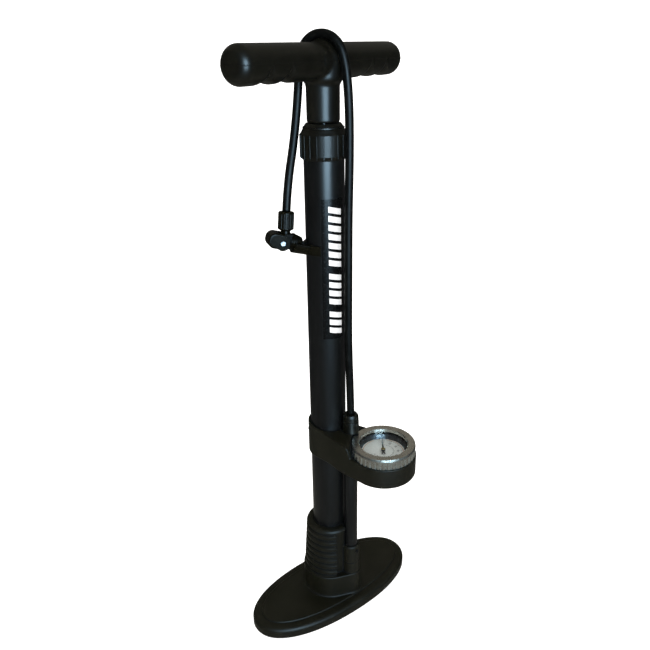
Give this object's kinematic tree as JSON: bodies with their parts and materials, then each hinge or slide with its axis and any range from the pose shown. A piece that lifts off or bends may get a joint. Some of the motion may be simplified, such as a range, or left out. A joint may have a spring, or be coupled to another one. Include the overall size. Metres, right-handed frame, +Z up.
{
  "type": "bicycle floor pump",
  "caption": "Upright floor pump with a T handle, steel barrel, oval foot, recessed dial gauge on a clamp bracket and a rubber hose ending in a lever chuck.",
  "frame": {"origin": "on the barrel axis at floor level, in the middle of the oval foot", "axes": "+Z up along the barrel, X along the long axis of the oval foot, -Y towards the gauge side"},
  "size_m": [0.225, 0.1437, 0.6238],
  "materials": {
    "moulded_black": "fine satin moulded grain",
    "barrel_paint": "satin black powder coat",
    "nylon_white": "natural moulded nylon",
    "seal_rubber": "dull black",
    "hose_rubber": "smooth, slightly glossy black",
    "steel_zinc": "zinc plated",
    "screw_black": "black oxide steel",
    "rod_chrome": "polished hard chrome",
    "pin_steel": "bright turned steel",
    "brass_fittings": "turned brass",
    "label_film": "black printed film",
    "dial_print": "white enamel",
    "dial_ring_paint": "silver paint",
    "bezel_metal": "satin silver, knurled",
    "gauge_glass": "clear",
    "needle_paint": "matt black"
  },
  "bodies": {
    "pump_barrel": {"air_pipe": "barrel_paint", "barrel_end_plug": "nylon_white", "barrel_label": "label_film", "barrel_tube": "barrel_paint", "base_foot": "moulded_black", "bourdon_tube": "brass_fittings", "bracket_screw": "screw_black", "check_valve_retainer": "nylon_white", "check_valve_seat": "seal_rubber", "chuck_clip": "moulded_black", "dial_face": "dial_print", "dial_ring": "dial_ring_paint", "end_plug_seal": "seal_rubber", "foot_screws": "steel_zinc", "gauge_bezel": "bezel_metal", "gauge_bracket": "moulded_black", "gauge_lens": "gauge_glass", "gauge_movement": "brass_fittings", "gauge_socket": "brass_fittings", "hose_barb": "brass_fittings", "hose_gland_nut": "moulded_black", "lens_gasket": "seal_rubber", "pipe_seals": "seal_rubber", "rod_guide_bush": "nylon_white", "rod_wiper": "seal_rubber", "socket_screw": "screw_black", "top_cap": "moulded_black", "check_valve_spring": "steel_zinc"},
    "pump_piston": {"handle": "moulded_black", "handle_insert": "steel_zinc", "piston_rod": "rod_chrome", "piston_head": "nylon_white", "piston_cup": "seal_rubber", "piston_washer": "steel_zinc", "piston_nut": "steel_zinc", "piston_bumper": "seal_rubber", "air_hose": "hose_rubber", "chuck_body": "moulded_black", "chuck_cap": "moulded_black", "chuck_grommet": "seal_rubber", "chuck_pin": "pin_steel", "chuck_stem": "brass_fittings", "hose_end_nut": "moulded_black"},
    "chuck_thumb_lever": {"chuck_lever": "moulded_black"},
    "gauge_pointer": {"gauge_needle": "needle_paint"},
    "check_valve": {"check_valve_poppet": "nylon_white"}
  },
  "joints": [
    {"name": "pump_stroke", "type": "slide", "parent": "pump_barrel", "child": "pump_piston", "axis": [0, 0, 1], "range_m": [0, 0.4], "deforming": ["air_hose"]},
    {"name": "chuck_lever_hinge", "type": "hinge", "parent": "pump_piston", "child": "chuck_thumb_lever", "pos_m": [-0.04185, 0.0136, 0.4407], "axis": [-0.309, -0.9511, 0], "range_deg": [0, 90]},
    {"name": "gauge_pointer_hinge", "type": "hinge", "parent": "pump_barrel", "child": "gauge_pointer", "pos_m": [0.0251, -0.06212, 0.219], "axis": [0, 0, -1], "range_deg": [0, 240], "stiffness_Nm_per_rad": 0.0002},
    {"name": "check_valve_slide", "type": "slide", "parent": "pump_barrel", "child": "check_valve", "axis": [0, 0, -1], "range_m": [0, 0.0015], "stiffness_N_per_m": 100, "springref_m": -0.003, "deforming": ["check_valve_spring"]}
  ]
}
